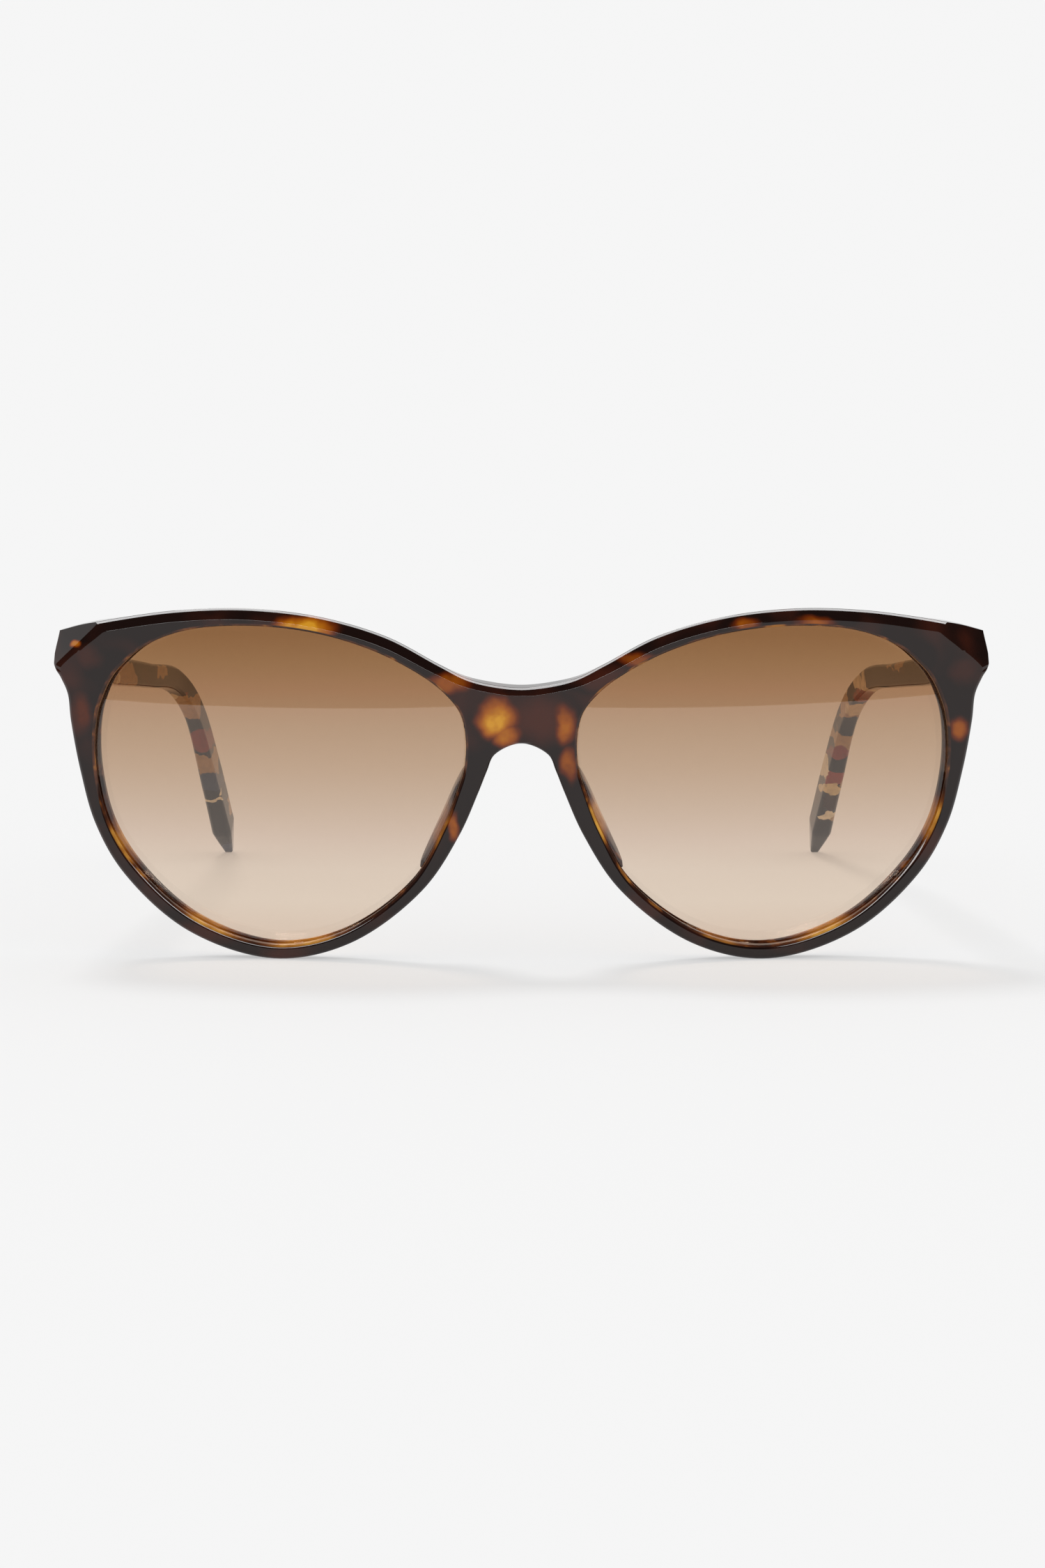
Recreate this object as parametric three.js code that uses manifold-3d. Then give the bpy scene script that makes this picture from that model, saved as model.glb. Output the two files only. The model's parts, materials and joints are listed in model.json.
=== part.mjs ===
// Cat eye sunglasses with an acetate front, spherical lenses, five-barrel hinges and wired temples.
// Millimetres. +X is the wearer's left, -Y is the way the lenses face, +Z is up.
// The front is drawn in its own plane (u across, v up, w back) and then leaned forward by FRONT_TILT.
import * as THREE from "three";
import { mergeVertices } from "three/addons/utils/BufferGeometryUtils.js";
import Module from "manifold-3d";

const wasm = await Module();
wasm.setup();

// Driving dimensions
const FRONT_TILT = THREE.MathUtils.degToRad(4.5);
const FRONT_RADIUS = 315; // the front wraps about an upright axis this far behind it
const RIM_DEPTH = 4;
const BRIDGE_EXTRA = 1.3; // the bridge is this much deeper than the rims
const BRIDGE_REACH = 9;
const CHAMFER = 0.5; // round the lens, on the front
const CHAMFER_DROP = 0.4; // depth that the chamfer falls by
const BACK_EASE = 0.3; // small bevel of the back edges
const GROOVE_DEPTH = 1.05;
const GROOVE_HALF = 1.1;
const BUTT = 13.4; // flat back of the endpiece, measured from the front plane
const LENS_RADIUS = 138; // middle surface of the lens
const LENS_HALF = 0.85; // half its thickness
const LENS_TURN = THREE.MathUtils.degToRad(6.3); // face form angle
const LENS_CENTRE = [36.5, 27.5];
const LENS_SET = 2.2; // middle surface behind the front plane at the lens centre
const LENS_RINGS = [0.35, 0.7]; // rings of its mesh, as shares of the way to its edge
const FIT = 0.3; // clearance between pieces that touch on the real object
const WELD = 1e-4; // points nearer than this are one point
const SIDES = { barrel: 16, pin: 12, pinHead: 20, tack: 10, hole: 12, wireQuarter: 4 };
const EDGE_ROUND = 0.45; // bevel of the front's outer edge away from the brow

// Bright bevel that runs along the brow and then diagonally across the endpiece
const BEVEL = { width: 1.1, browWidth: 1.6, slope: 0.64, drop: 0.3, shoulder: 0.45 };
const FACET = { from: [65, 51.1], to: [71.3, 45.1], slope: 1.05 };

// Hinge
const HINGE = { x: 65.5, v: 45.9, back: 2, barrel: 1.4, bore: 0.85, knuckle: 0.9, neck: 0.8 };
const LEAF_THICK = 1;
const FRONT_LEAF = { from: 64.6, to: 68.9, half: 2.95, screwX: 67.7, screwStep: 1.6 };
const TEMPLE_LEAF = { from: 1.1, to: 12.5, half: 2, lift: 0.3, screws: [5.2, 8.6] };
const NECK_ROOT = 0.4; // how far a knuckle's neck runs into its leaf
const PIN = { radius: 0.55, head: 1.15, headHeight: 0.6, slot: 0.3, spare: 0.2 };
const TACK = { shank: 0.5, head: 0.9, headHeight: 0.5, length: 2.1, tip: 0.4 };
const TACK_HOLE = { front: 6, temple: 4.8, head: 4 }; // lengths of the holes, half on each side

// Temple: points of its centre line (x, y, z), with its height and its thickness there
const TEMPLE = [
  { at: [69.35, 10.1, 46.8], high: 6.5, thick: 3.7 },
  { at: [68.35, 21.6, 44.75], high: 5.8, thick: 3.6 },
  { at: [67.1, 36, 42.3], high: 4.8, thick: 3.4 },
  { at: [64.5, 65, 39.3], high: 4.1, thick: 3.1 },
  { at: [62, 91, 36.2], high: 4.1, thick: 2.8 },
  { at: [60, 105, 29.6], high: 4.5, thick: 2.8 },
  { at: [58.2, 118.5, 16.2], high: 5.4, thick: 3.3 },
  { at: [57.1, 128.6, 6], high: 5, thick: 3.7 },
  { at: [56.5, 134, 0.82], high: 1.7, thick: 1.6 },
];
const TEMPLE_STEPS = 3; // sections between two of those points
const WIRE_STEPS = 22;
const TEMPLE_EASE = 0.15; // bevel of its four edges, as a share of its section
const WIRE = { radius: 0.55, from: 0.98, to: 6.3, offset: 0.12, spare: 0.03 }; // from and to by point

// Ribs of the wearer's left half of the front: inner edge and outer edge of the front face (u, v).
// The outline turns sharply at a corner. The first two ribs lie past the middle, where the half is cut off.
const RIBS = [
  { inner: [8.1, 36], outer: [-3, 33.85], corner: true },
  { inner: [8.25, 36.7], outer: [-3, 42.3], corner: true },
  { inner: [8.35, 37.25], outer: [0, 42.3], corner: true },
  { inner: [9, 39], outer: [4.2, 42.7] },
  { inner: [10.65, 41.15], outer: [8.2, 43.7] },
  { inner: [13.7, 43.8], outer: [12.4, 45.8] },
  { inner: [21.25, 47.95], outer: [20.3, 49.95] },
  { inner: [30.9, 50.9], outer: [30.5, 52.85] },
  { inner: [41.5, 51.9], outer: [41.6, 53.95] },
  { inner: [51.2, 50.95], outer: [52.2, 53.45] },
  { inner: [57.8, 48.25], outer: [61, 52.1] },
  { inner: [61.2, 45.4], outer: [66.8, 50.85] },
  { inner: [62.7, 43.7], outer: [70.9, 49.5], corner: true },
  { inner: [63.85, 41.75], outer: [71.5, 44.8] },
  { inner: [64.6, 40], outer: [70.4, 42.7] },
  { inner: [65.2, 38.2], outer: [69.4, 40.3] },
  { inner: [65.75, 34.6], outer: [69, 36.2] },
  { inner: [65.7, 28.6], outer: [67.7, 28.5] },
  { inner: [63.9, 20.6], outer: [65.5, 20.2] },
  { inner: [59.7, 13.6], outer: [61.1, 12.5] },
  { inner: [50.5, 5.6], outer: [51.3, 3.95] },
  { inner: [38, 1.75], outer: [38, 0] },
  { inner: [27, 4.1], outer: [26.2, 2.65] },
  { inner: [16.4, 12.1], outer: [15.1, 11.05] },
  { inner: [11.55, 20.45], outer: [9.4, 19.7] },
  { inner: [9.2, 26.55], outer: [6.5, 26.3] },
  { inner: [8.2, 29.85], outer: [5.2, 29.6] },
  { inner: [7.9, 33.1], outer: [4.05, 32.1] },
  { inner: [8, 35.2], outer: [0, 33.85], corner: true },
];
const ENDPIECE = [9.2, 11, 14.2, 16]; // ribs where the endpiece begins, is full, is full, ends
const BROW = [3, 6, 10, 12.5]; // ribs where the brow begins, is full, is full, ends
const BROW_FALL = 0.45; // how far the top of the brow falls towards its back
const BROW_END = [12.95, 13.55]; // ribs where the bevel gives way to the plain round edge
const RING = RIBS.length * 3; // sections of the rim
const LEFT_HALF = [[0, 100], [-10, 40], [-10, 80]]; // a box round the wearer's left half
const RIM_BACK = [0.66, 0.33]; // bends of the rim's back, as shares of its width
const LUG_BACK = [1.3, 0.5]; // the same bends where the back rises to the endpiece, in millimetres
const SHARPEST = 0.3; // least sine of the angle between a rib and the outline that widths allow for
const LEAST_CROSS = 0.5; // the same for a rib and the facet's line
const RIB_NUDGE = 0.02; // step, in ribs, for the direction of the outline

// Nose pad: a wedge glued behind the nasal side of the rim, from one rib to another
const PAD = { from: 23.2, to: 26.2, deep: 5.2, narrow: 0.6, blunt: 0.08, sections: 12 };
// Its section: distance in from the outline, and share of its depth
const PAD_SECTION = [[0.35, 0], [0.5, 0.25], [2.1, 0.8], [2.65, 1], [3.65, 1], [3.35, 0.45], [2.4, 0]];

const mix = THREE.MathUtils.lerp;
const smooth = THREE.MathUtils.smoothstep;

// Geometry and solids
function plain(geometry) {
  const g = geometry.index ? geometry.toNonIndexed() : geometry.clone();
  g.deleteAttribute("normal");
  g.deleteAttribute("uv");
  return mergeVertices(g, WELD);
}

function solid(geometry) {
  const g = plain(geometry);
  return new wasm.Manifold(
    new wasm.Mesh({
      numProp: 3,
      vertProperties: g.attributes.position.array,
      triVerts: new Uint32Array(g.index.array),
    }),
  );
}

function geometryOf(made) {
  const mesh = made.getMesh();
  const points = new Float32Array(mesh.numVert * 3);
  for (let i = 0; i < mesh.numVert; i++) {
    points.set(mesh.vertProperties.subarray(i * mesh.numProp, i * mesh.numProp + 3), i * 3);
  }
  return new THREE.BufferGeometry()
    .setAttribute("position", new THREE.BufferAttribute(points, 3))
    .setIndex(new THREE.BufferAttribute(mesh.triVerts, 1));
}

// Each row is a closed loop of points. Rows close on the first one, or end in flat caps.
function loft(rows, ring) {
  const size = rows[0].length;
  const points = rows.flat().flatMap((p) => p.toArray());
  const faces = [];
  const last = ring ? rows.length : rows.length - 1;
  for (let i = 0; i < last; i++) {
    const next = ((i + 1) % rows.length) * size;
    for (let j = 0; j < size; j++) {
      const k = (j + 1) % size;
      faces.push(i * size + j, next + j, next + k, i * size + j, next + k, i * size + k);
    }
  }
  if (!ring) {
    for (let j = 1; j < size - 1; j++) {
      const end = (rows.length - 1) * size;
      faces.push(0, j, j + 1, end, end + j + 1, end + j);
    }
  }
  return new THREE.BufferGeometry()
    .setAttribute("position", new THREE.Float32BufferAttribute(points, 3))
    .setIndex(faces);
}

function outwards(geometry) {
  const g = plain(geometry);
  if (solid(g).volume() < 0) {
    const index = g.index.array;
    for (let i = 0; i < index.length; i += 3) {
      [index[i + 1], index[i + 2]] = [index[i + 2], index[i + 1]];
    }
  }
  return g;
}

const mirrored = (geometry) => outwards(plain(geometry).scale(-1, 1, 1));
const leaned = (geometry) => geometry.rotateX(FRONT_TILT);

function box(x, y, z) {
  const g = new THREE.BoxGeometry(x[1] - x[0], y[1] - y[0], z[1] - z[0]);
  return g.translate((x[0] + x[1]) / 2, (y[0] + y[1]) / 2, (z[0] + z[1]) / 2);
}

function upright(radius, from, to, x, y, sides = SIDES.barrel) {
  return new THREE.CylinderGeometry(radius, radius, to - from, sides)
    .rotateX(Math.PI / 2)
    .translate(x, y, (from + to) / 2);
}

// Outlines of the front. A rib number that is not whole lies between two ribs.
function smoothOutline(points) {
  const curve = new THREE.CatmullRomCurve3(points, true);
  return (rib) => curve.getPoint(rib / points.length);
}

// A stretch that ends on the middle plane gets one more point, so that it crosses the plane squarely.
function crossingRun(run) {
  const across = (p) => new THREE.Vector3(-p.x, p.y, 0);
  const curved = run.length > 2;
  const before = curved && run[0].x === 0 ? [across(run[1])] : [];
  const after = curved && run.at(-1).x === 0 ? [across(run.at(-2))] : [];
  return { before: before.length, points: [...before, ...run, ...after] };
}

function corneredOutline(points) {
  const corners = RIBS.flatMap((rib, i) => (rib.corner ? [i] : []));
  const stretches = corners.map((from, i) => {
    const to = i + 1 < corners.length ? corners[i + 1] : corners[0] + points.length;
    const run = [];
    for (let k = from; k <= to; k++) run.push(points[k % points.length]);
    const crossing = crossingRun(run);
    const curve = new THREE.CatmullRomCurve3(crossing.points);
    return { to, start: from - crossing.before, count: crossing.points.length - 1, curve };
  });
  return (number) => {
    const rib = THREE.MathUtils.euclideanModulo(number, points.length);
    const found = stretches.find((s) => rib < s.to) ?? stretches.at(-1);
    return found.curve.getPoint((rib - found.start) / found.count);
  };
}

const edgePoints = (edge) => RIBS.map((rib) => new THREE.Vector3(...rib[edge], 0));
const innerEdge = smoothOutline(edgePoints("inner"));
const outerEdge = corneredOutline(edgePoints("outer"));

const wrap = (u) => u ** 2 / (2 * FRONT_RADIUS);

// A point of the front, in the axes (u, w, v). With lean, depth runs square to the curved face.
function onFront(p, depth, lean) {
  const slope = lean ? p.x / FRONT_RADIUS : 0;
  const c = 1 / Math.hypot(1, slope);
  return new THREE.Vector3(p.x - depth * slope * c, wrap(p.x) + depth * c, p.y);
}

// Depth of a lens surface, which lies as far as offset behind the middle surface.
function lensDepth(u, v, offset = 0) {
  const du = u - LENS_CENTRE[0] + LENS_RADIUS * Math.sin(LENS_TURN);
  const dv = v - LENS_CENTRE[1];
  const back = LENS_SET + LENS_RADIUS * Math.cos(LENS_TURN);
  return back - Math.sqrt((LENS_RADIUS - offset) ** 2 - du ** 2 - dv ** 2);
}

function ribAt(number) {
  const inner = innerEdge(number);
  const outer = outerEdge(number);
  const out = outer.clone().sub(inner);
  const width = out.length();
  out.normalize();
  const edgeWay = outerEdge(number + RIB_NUDGE).sub(outerEdge(number - RIB_NUDGE)).normalize();
  const wall = inner.clone().addScaledVector(out, -2 * CHAMFER);
  return {
    outer,
    out,
    width,
    square: Math.max(SHARPEST, Math.abs(out.x * edgeWay.y - out.y * edgeWay.x)),
    at: (r) => inner.clone().addScaledVector(out, r),
    middle: lensDepth(wall.x, wall.y) - wrap(wall.x),
    deep: RIM_DEPTH + BRIDGE_EXTRA * Math.exp(-((inner.x / BRIDGE_REACH) ** 2)),
  };
}

// Width of the swept-back facet of the endpiece, outside the diagonal bevel
function facetWidth(rib) {
  const [u0, v0] = FACET.from;
  const along = new THREE.Vector3(FACET.to[0] - u0, FACET.to[1] - v0, 0).normalize();
  const normal = new THREE.Vector3(-along.y, along.x, 0);
  const beyond = (rib.outer.x - u0) * normal.x + (rib.outer.y - v0) * normal.y;
  return Math.max(0, beyond / Math.max(rib.out.dot(normal), LEAST_CROSS));
}

function rimSection(number) {
  const rib = ribAt(number);
  const brow = 1 - smooth(number, ...BROW_END);
  const round = EDGE_ROUND / rib.square;
  const facet = number > ENDPIECE[0] && number < ENDPIECE[2] ? facetWidth(rib) : 0;
  const swell = smooth(number, BROW[0], BROW[1]) - smooth(number, BROW[2], BROW[3]);
  const broad = mix(BEVEL.width, BEVEL.browWidth, swell);
  const bevel = mix(EDGE_ROUND, broad, brow) / rib.square;
  const fore = mix(BEVEL.shoulder * EDGE_ROUND, BEVEL.slope * broad, brow);
  const side = mix(EDGE_ROUND, BEVEL.slope * broad + BEVEL.drop, brow) + facet * FACET.slope;
  const lug = smooth(number, ENDPIECE[0], ENDPIECE[1]) - smooth(number, ENDPIECE[2], ENDPIECE[3]);
  const wide = rib.width;
  const point = (r, depth, lean) => onFront(rib.at(r), depth, lean);
  const backAt = (r, lift) => {
    const p = rib.at(r);
    return new THREE.Vector3(p.x, mix(wrap(p.x) + rib.deep, BUTT, lift), p.y);
  };
  const top = wide - BROW_FALL * swell;
  return [
    point(GROOVE_DEPTH - CHAMFER, rib.middle, true),
    point(-CHAMFER, rib.middle - GROOVE_HALF, true),
    point(-CHAMFER, CHAMFER_DROP, true),
    point(0, 0, true),
    point(wide - facet - bevel, 0, false),
    point(wide - facet - BEVEL.shoulder * round, fore, false),
    point(wide, side, false),
    backAt(top, lug).add(new THREE.Vector3(0, -BACK_EASE, 0)),
    backAt(top - BACK_EASE, lug),
    backAt(mix(RIM_BACK[0] * wide, LUG_BACK[0], lug), lug),
    backAt(mix(RIM_BACK[1] * wide, LUG_BACK[1], lug), 0),
    point(BACK_EASE - CHAMFER, rib.deep, true),
    point(-CHAMFER, rib.deep - BACK_EASE, true),
    point(-CHAMFER, rib.middle + GROOVE_HALF, true),
  ];
}

function frontHalf() {
  const rows = [];
  for (let i = 0; i < RING; i++) rows.push(rimSection((i * RIBS.length) / RING));
  const half = solid(outwards(loft(rows, true)));
  return half.intersect(solid(box(...LEFT_HALF)));
}

// Lens
function lens() {
  const vShift = FIT / Math.sin(Math.atan2(GROOVE_HALF, GROOVE_DEPTH));
  const apex = GROOVE_DEPTH - CHAMFER - vShift;
  const shoulder = apex - (LENS_HALF * GROOVE_DEPTH) / GROOVE_HALF;
  const centre = new THREE.Vector3(LENS_CENTRE[0], 0, LENS_CENTRE[1]);
  const rows = [];
  for (let i = 0; i < RING; i++) {
    const rib = ribAt((i * RIBS.length) / RING);
    const inside = (share, offset) => {
      const p = centre.clone().lerp(onFront(rib.at(shoulder), rib.middle + offset, true), share);
      return p.setY(lensDepth(p.x, p.z, offset));
    };
    rows.push([
      inside(0, -LENS_HALF),
      ...LENS_RINGS.map((share) => inside(share, -LENS_HALF)),
      inside(1, -LENS_HALF),
      onFront(rib.at(apex), rib.middle, true),
      inside(1, LENS_HALF),
      ...LENS_RINGS.toReversed().map((share) => inside(share, LENS_HALF)),
      inside(0, LENS_HALF),
    ]);
  }
  return withoutSlivers(loftOpen(rows));
}

// As loft, but a row is an open line whose ends meet those of the other rows at two poles.
function loftOpen(rows) {
  const size = rows[0].length;
  const points = rows.flat().flatMap((p) => p.toArray());
  const faces = [];
  for (let i = 0; i < rows.length; i++) {
    const next = ((i + 1) % rows.length) * size;
    for (let j = 0; j < size - 1; j++) {
      const here = i * size;
      faces.push(here + j, next + j, next + j + 1, here + j, next + j + 1, here + j + 1);
    }
  }
  return new THREE.BufferGeometry()
    .setAttribute("position", new THREE.Float32BufferAttribute(points, 3))
    .setIndex(faces);
}

function withoutSlivers(geometry) {
  const g = plain(geometry);
  const kept = [];
  const index = g.index.array;
  for (let i = 0; i < index.length; i += 3) {
    const [a, b, c] = index.slice(i, i + 3);
    if (a !== b && b !== c && c !== a) kept.push(a, b, c);
  }
  return outwards(g.setIndex(kept));
}

function nosePad() {
  const rows = [];
  for (let i = 0; i <= PAD.sections; i++) {
    const t = i / PAD.sections;
    const swell = mix(PAD.blunt, 1, Math.sqrt(1 - (2 * t - 1) ** 2));
    const rib = ribAt(mix(PAD.from, PAD.to, t));
    const floor = wrap(rib.at(0).x) + rib.deep + FIT;
    const reach = mix(PAD.narrow, 1, swell);
    rows.push(PAD_SECTION.map(([across, share]) => {
      const p = rib.at(rib.width - across * reach);
      return new THREE.Vector3(p.x, floor + share * PAD.deep * swell, p.y);
    }));
  }
  return outwards(loft(rows, false));
}

// Temple
const hingeY = (BUTT + HINGE.back) * Math.cos(FRONT_TILT) - HINGE.v * Math.sin(FRONT_TILT);
const hingeZ = HINGE.v * Math.cos(FRONT_TILT) + (BUTT + HINGE.back) * Math.sin(FRONT_TILT);
const templeLine = new THREE.CatmullRomCurve3(TEMPLE.map((s) => new THREE.Vector3(...s.at)));

function templeStation(number) {
  const last = TEMPLE.length - 1;
  const t = Math.min(number / last, 1);
  const i = Math.min(Math.floor(number), last - 1);
  const along = templeLine.getTangent(t).normalize();
  const out = new THREE.Vector3(along.y, -along.x, 0).normalize();
  return {
    centre: templeLine.getPoint(t),
    along,
    out,
    up: out.clone().cross(along),
    high: mix(TEMPLE[i].high, TEMPLE[i + 1].high, number - i),
    thick: mix(TEMPLE[i].thick, TEMPLE[i + 1].thick, number - i),
  };
}

function templeSection(number) {
  const s = templeStation(number);
  const ease = TEMPLE_EASE * Math.min(s.thick, s.high);
  const a = s.thick / 2;
  const b = s.high / 2;
  const corners = [
    [a, b - ease], [a - ease, b], [ease - a, b], [-a, b - ease],
    [-a, ease - b], [ease - a, -b], [a - ease, -b], [a, ease - b],
  ];
  return corners.map(([across, rise]) =>
    s.centre.clone().addScaledVector(s.out, across).addScaledVector(s.up, rise),
  );
}

// The first section lies in the plane of the endpiece, one clearance behind it.
function buttSection() {
  const plane = BUTT + FIT;
  return templeSection(0).map((p) => {
    const y = (plane - p.z * Math.sin(FRONT_TILT)) / Math.cos(FRONT_TILT);
    return new THREE.Vector3(p.x, y, p.z);
  });
}

function templeBlank() {
  const rows = [buttSection()];
  const count = (TEMPLE.length - 1) * TEMPLE_STEPS;
  for (let i = 1; i <= count; i++) rows.push(templeSection(i / TEMPLE_STEPS));
  return outwards(loft(rows, false));
}

// Moves geometry drawn along +Y, with +X outwards, on to the inner face of the temple's front end.
function onTemple(geometry) {
  const s = templeStation(0);
  const place = new THREE.Matrix4().makeBasis(s.out, s.along, s.up);
  const face = s.centre.clone().addScaledVector(s.out, -s.thick / 2);
  return geometry.applyMatrix4(place.setPosition(face));
}

function wire(radius, spare) {
  const points = [];
  for (let i = 0; i <= WIRE_STEPS; i++) {
    const s = templeStation(mix(WIRE.from - spare, WIRE.to + spare, i / WIRE_STEPS));
    points.push(s.centre.clone().addScaledVector(s.out, WIRE.offset));
  }
  const section = new THREE.Shape();
  section.absarc(0, 0, radius, 0, 2 * Math.PI);
  return new THREE.ExtrudeGeometry(section, {
    steps: WIRE_STEPS,
    curveSegments: SIDES.wireQuarter,
    extrudePath: new THREE.CatmullRomCurve3(points),
  });
}

// Small screw that holds a leaf, drawn with its head at y = 0 and its shank along `way`
function tack(way) {
  const profile = [
    [0, 0], [TACK.head, 0], [TACK.shank, TACK.headHeight], [TACK.shank, TACK.length - TACK.tip],
    [0, TACK.length],
  ].map(([r, y]) => new THREE.Vector2(r, y));
  const g = new THREE.LatheGeometry(profile, SIDES.tack);
  return outwards(way === "y" ? g.rotateX(Math.PI) : g.rotateZ(-Math.PI / 2));
}

// Round hole for such a screw or for its head, centred on y = 0
function tackHole(way, radius, length) {
  const hole = new THREE.CylinderGeometry(radius + FIT, radius + FIT, length, SIDES.hole);
  return way === "y" ? hole : hole.rotateZ(Math.PI / 2);
}

// Hinge: the knuckles share one upright axis, the front leaf has the odd ones
const PITCH = HINGE.knuckle + FIT;
function knuckleSpan(number) {
  const bottom = hingeZ - 2 * PITCH - HINGE.knuckle / 2 + number * PITCH;
  return [bottom, bottom + HINGE.knuckle];
}

function bored(leaf) {
  const span = 4 * PITCH;
  return leaf.subtract(solid(upright(HINGE.bore, hingeZ - span, hingeZ + span, HINGE.x, hingeY)));
}

const frontTackPlaces = [-1, 1].map((side) => [
  FRONT_LEAF.screwX, BUTT, HINGE.v + side * FRONT_LEAF.screwStep,
]);
const leafBox = (grow) =>
  leaned(box(
    [FRONT_LEAF.from - grow, FRONT_LEAF.to + grow],
    [BUTT - LEAF_THICK - grow, BUTT + 4 * grow],
    [HINGE.v - FRONT_LEAF.half - grow, HINGE.v + FRONT_LEAF.half + grow],
  ));

function frontLeaf() {
  let leaf = solid(leafBox(0));
  for (const number of [0, 2, 4]) {
    const [low, high] = knuckleSpan(number);
    const x = [HINGE.x - HINGE.neck, HINGE.x + HINGE.neck];
    leaf = leaf.add(solid(upright(HINGE.barrel, low, high, HINGE.x, hingeY)));
    leaf = leaf.add(solid(box(x, [hingeY - HINGE.back - NECK_ROOT, hingeY], [low, high])));
  }
  for (const place of frontTackPlaces) {
    leaf = leaf.subtract(solid(leaned(tackHole("y", TACK.head, TACK_HOLE.head).translate(...place))));
  }
  return bored(leaf);
}

const templeLeafBox = (grow) =>
  onTemple(box(
    [-4 * grow, LEAF_THICK + grow],
    [TEMPLE_LEAF.from - 6 * grow, TEMPLE_LEAF.to + grow],
    [TEMPLE_LEAF.lift - TEMPLE_LEAF.half - grow, TEMPLE_LEAF.lift + TEMPLE_LEAF.half + grow],
  ));

function templeLeaf() {
  let leaf = solid(templeLeafBox(0));
  for (const number of [1, 3]) {
    const [low, high] = knuckleSpan(number);
    const y = [hingeY - HINGE.neck, hingeY + HINGE.neck];
    leaf = leaf.add(solid(upright(HINGE.barrel, low, high, HINGE.x, hingeY)));
    leaf = leaf.add(solid(box([HINGE.x, HINGE.x + HINGE.back + NECK_ROOT], y, [low, high])));
  }
  for (const along of TEMPLE_LEAF.screws) {
    leaf = leaf.subtract(solid(onTemple(tackHole("x", TACK.head, TACK_HOLE.head).translate(0, along, 0))));
  }
  return bored(leaf);
}

function hingeScrew() {
  const [low] = knuckleSpan(0);
  const [, high] = knuckleSpan(4);
  const top = high + FIT;
  const ends = [low - PIN.spare, top + PIN.spare];
  const shank = solid(upright(PIN.radius, ...ends, HINGE.x, hingeY, SIDES.pin));
  const head = solid(upright(PIN.head, top, top + PIN.headHeight, HINGE.x, hingeY, SIDES.pinHead));
  const slot = box(
    [HINGE.x - 2 * PIN.head, HINGE.x + 2 * PIN.head],
    [hingeY - PIN.slot / 2, hingeY + PIN.slot / 2],
    [top + PIN.headHeight / 2, top + 2 * PIN.headHeight],
  );
  return shank.add(head).subtract(solid(slot));
}

// Joining the two halves can leave a flat sliver of no volume on the middle plane.
const largest = (made) => made.decompose().sort((a, b) => b.volume() - a.volume())[0];

function front() {
  const half = frontHalf();
  const other = solid(mirrored(geometryOf(half)));
  let made = solid(leaned(geometryOf(half.add(other))));
  const cuts = [leafBox(FIT)];
  for (const place of frontTackPlaces) {
    cuts.push(leaned(tackHole("y", TACK.shank, TACK_HOLE.front).translate(...place)));
  }
  for (const cut of cuts) {
    made = made.subtract(solid(cut)).subtract(solid(mirrored(cut)));
  }
  return largest(made);
}

function temple() {
  let made = solid(templeBlank()).subtract(solid(templeLeafBox(FIT)));
  for (const along of TEMPLE_LEAF.screws) {
    const hole = tackHole("x", TACK.shank, TACK_HOLE.temple).translate(0, along, 0);
    made = made.subtract(solid(onTemple(hole)));
  }
  return made.subtract(solid(outwards(wire(WIRE.radius + FIT, WIRE.spare))));
}

// Materials
const paint = (color, roughness, metalness, more = {}) => () =>
  new THREE.MeshStandardMaterial({ color, roughness, metalness, ...more });
const havana = paint("#3a2620", 0.2, 0);
const mosaic = paint("#6b4a36", 0.25, 0);
const tint = paint("#a98a68", 0.05, 0, { transparent: true, opacity: 0.5 });
const steel = paint("#b9b9bd", 0.3, 1);
const gilt = paint("#c9a86a", 0.3, 1);

const sunglasses = new THREE.Group();
const assembly = new THREE.Group();
sunglasses.add(assembly);

function add(name, geometry, material) {
  const mesh = new THREE.Mesh(geometry.toNonIndexed(), material());
  mesh.geometry.computeVertexNormals();
  mesh.name = name;
  assembly.add(mesh);
}

function addPair(name, geometry, material) {
  add(name + "_left", geometry, material);
  add(name + "_right", mirrored(geometry), material);
}

add("front_frame", geometryOf(front()), havana);
addPair("lens", leaned(lens()), tint);
addPair("nose_pad", leaned(nosePad()), havana);
addPair("front_hinge_leaf", geometryOf(frontLeaf()), gilt);
addPair("temple_hinge_leaf", geometryOf(templeLeaf()), gilt);
addPair("hinge_screw", geometryOf(hingeScrew()), steel);
addPair("temple", geometryOf(temple()), mosaic);
addPair("core_wire", outwards(wire(WIRE.radius, 0)), steel);
["lower", "upper"].forEach((end, i) => {
  const place = frontTackPlaces[i];
  addPair(end + "_front_leaf_screw", leaned(tack("y").translate(...place)), steel);
});
["fore", "rear"].forEach((end, i) => {
  const piece = tack("x").translate(0, TEMPLE_LEAF.screws[i], 0);
  addPair(end + "_temple_leaf_screw", onTemple(piece), steel);
});

// The frame's origin is the middle of the footprint, on the surface that the sunglasses stand on.
const bounds = new THREE.Box3().setFromObject(assembly);
const middle = bounds.getCenter(new THREE.Vector3());
assembly.position.set(-middle.x, -middle.y, -bounds.min.z);

export default sunglasses;
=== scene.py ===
"""Looks of the cat eye sunglasses: a havana acetate front, graded brown lenses and mosaic acetate temples.

Shapes are worked out in millimetres in the front's own axes (u across, w back, v up) and then put in the
row frame, in metres. +X is the wearer's left and the lenses face -Y.
"""

import json
import math

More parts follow.
